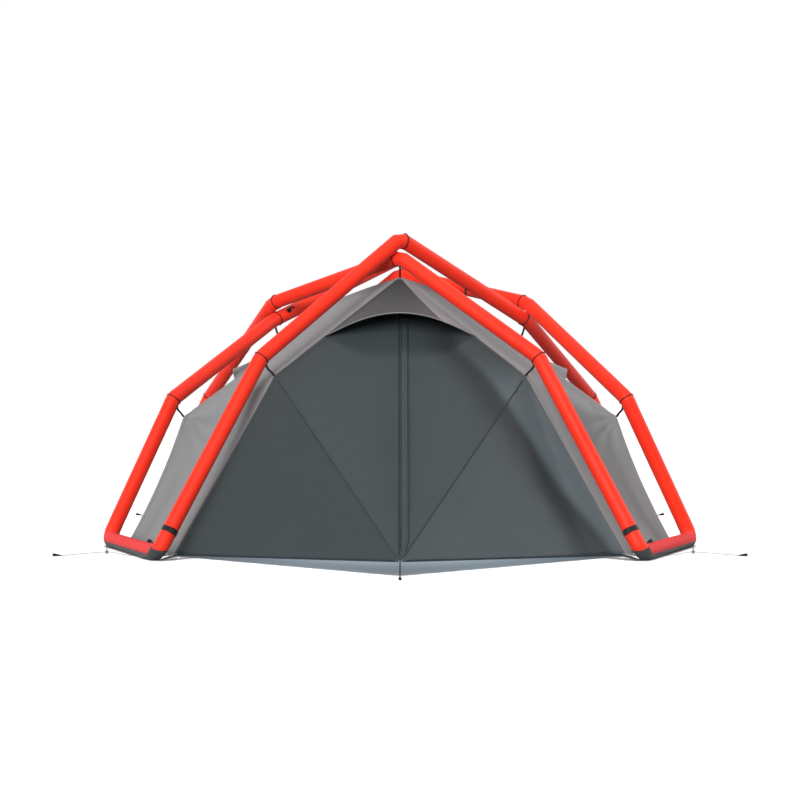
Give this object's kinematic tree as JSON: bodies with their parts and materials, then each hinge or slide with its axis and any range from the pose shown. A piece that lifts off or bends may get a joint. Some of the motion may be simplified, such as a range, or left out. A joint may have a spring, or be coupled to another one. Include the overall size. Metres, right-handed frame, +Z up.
{
  "type": "inflatable tent",
  "caption": "Free-standing inflatable tent: interwoven red air-tube arches outside a light grey flysheet, with a dark front porch, hooded vents, guy lines and pegs.",
  "frame": {"origin": "on the ground, at the bottom centre of the tent's box, measured without the guy lines and pegs", "axes": "+X to the right as seen from in front of the porch, +Y from the porch to the rear, +Z up"},
  "size_m": [3.35, 3.3749, 1.6099],
  "materials": {
    "red_sleeve": "satin coated sleeve cloth over the air tubes",
    "ground_sleeve": "coated sleeve cloth, dark grey underneath",
    "fly_cloth": "matt coated flysheet cloth",
    "door_cloth": "soft sheen coated cloth, dark slate grey",
    "hood_cloth": "matt coated cloth, dark grey",
    "webbing": "woven webbing",
    "valve_plastic": "moulded",
    "peg_plastic": "moulded",
    "pale_cord": "braided cord",
    "dark_cord": "braided cord"
  },
  "bodies": {
    "root": {"arch_a_span": "red_sleeve", "arch_a_leg_front_left": "red_sleeve", "arch_a_leg_rear_right": "red_sleeve", "arch_b_span": "red_sleeve", "arch_b_leg_front_right": "red_sleeve", "arch_b_leg_rear_left": "red_sleeve", "arch_c_span": "red_sleeve", "arch_c_leg_rear_right": "red_sleeve", "arch_c_leg_front_left": "red_sleeve", "arch_d_span": "red_sleeve", "arch_d_leg_rear_left": "red_sleeve", "arch_d_leg_front_right": "red_sleeve", "ground_tube_front_left": "ground_sleeve", "ground_tube_front_right": "ground_sleeve", "ground_tube_rear_left": "ground_sleeve", "ground_tube_rear_right": "ground_sleeve", "fly_corner_front_left": "fly_cloth", "fly_corner_front_right": "fly_cloth", "fly_corner_rear_left": "fly_cloth", "fly_corner_rear_right": "fly_cloth", "fly_side_left": "fly_cloth", "fly_side_right": "fly_cloth", "fly_rear": "fly_cloth", "fly_roof": "fly_cloth", "door_left": "door_cloth", "door_right": "door_cloth", "door_zip_flap": "door_cloth", "hood_front": "hood_cloth", "hood_left": "fly_cloth", "hood_right": "fly_cloth", "strap_end_knee_front_left": "webbing", "strap_side_knee_front_left": "webbing", "strap_end_knee_front_right": "webbing", "strap_side_knee_front_right": "webbing", "strap_end_knee_rear_left": "webbing", "strap_side_knee_rear_left": "webbing", "strap_end_knee_rear_right": "webbing", "strap_side_knee_rear_right": "webbing", "strap_crossing_front": "webbing", "strap_crossing_rear": "webbing", "strap_crossing_left": "webbing", "strap_crossing_right": "webbing", "strap_roof_front_right": "webbing", "leg_band_left": "webbing", "leg_band_right": "webbing", "valve_foot_left": "valve_plastic", "valve_foot_right": "valve_plastic", "valve_crossing_left": "valve_plastic", "guy_front_left": "pale_cord", "peg_front_left": "peg_plastic", "guy_front_right": "pale_cord", "peg_front_right": "peg_plastic", "guy_rear_left": "pale_cord", "peg_rear_left": "peg_plastic", "guy_rear_right": "pale_cord", "peg_rear_right": "peg_plastic", "bridle_front_left": "dark_cord", "bridle_front_right": "dark_cord", "guy_porch": "dark_cord", "peg_porch": "peg_plastic"}
  },
  "joints": []
}
